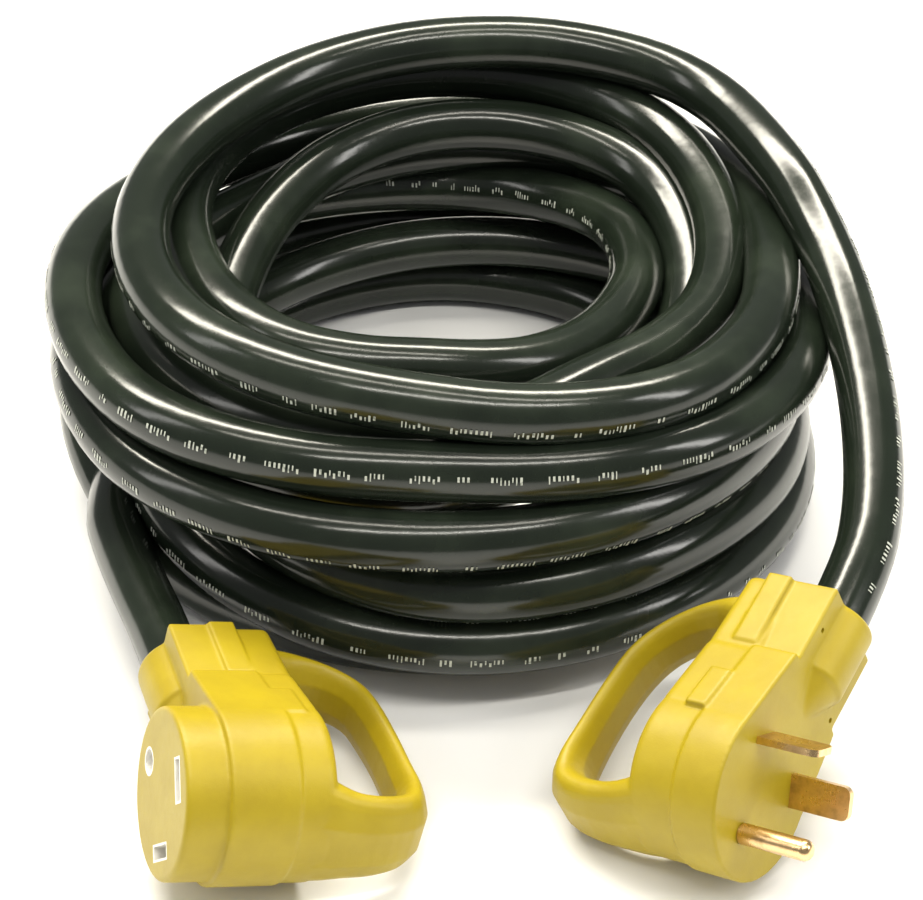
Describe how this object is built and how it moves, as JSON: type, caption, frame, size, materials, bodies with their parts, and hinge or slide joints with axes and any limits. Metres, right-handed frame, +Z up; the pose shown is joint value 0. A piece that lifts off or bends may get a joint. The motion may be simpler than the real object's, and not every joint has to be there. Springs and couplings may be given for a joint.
{
  "type": "shore power cord",
  "caption": "Shore power cord for a caravan: moulded right-angle plug and connector with strap handles on a thick coiled cord.",
  "frame": {"origin": "on the floor, under the middle of the two heads' bounding box", "axes": "+Z up; +X along the line from the connector head to the plug head; +Y from the heads towards the coil"},
  "size_m": [0.2429, 0.3193, 0.106],
  "materials": {
    "yellow_vinyl": "satin moulded vinyl",
    "dark_jacket": "glossy vinyl jacket",
    "brass": "plain drawn brass",
    "pale_insert": "satin hard plastic",
    "grey_insert": "satin hard plastic",
    "copper": "bare stranded copper",
    "black_core": "core insulation",
    "white_core": "core insulation",
    "green_core": "core insulation"
  },
  "bodies": {
    "root": {"plug_moulding": "yellow_vinyl", "plug_insert": "grey_insert", "plug_line_blade": "brass", "plug_neutral_blade": "brass", "plug_ground_pin": "brass", "connector_moulding": "yellow_vinyl", "connector_insert": "pale_insert", "connector_insert_cap": "grey_insert", "connector_line_contact": "brass", "connector_neutral_contact": "brass", "connector_ground_contact": "brass", "cord_plug_tail": "dark_jacket", "cord_coil": "dark_jacket", "cord_connector_tail": "dark_jacket", "plug_line_core": "black_core", "plug_line_conductor": "copper", "plug_neutral_core": "white_core", "plug_neutral_conductor": "copper", "plug_ground_core": "green_core", "plug_ground_conductor": "copper", "connector_line_core": "black_core", "connector_line_conductor": "copper", "connector_neutral_core": "white_core", "connector_neutral_conductor": "copper", "connector_ground_core": "green_core", "connector_ground_conductor": "copper"}
  },
  "joints": []
}
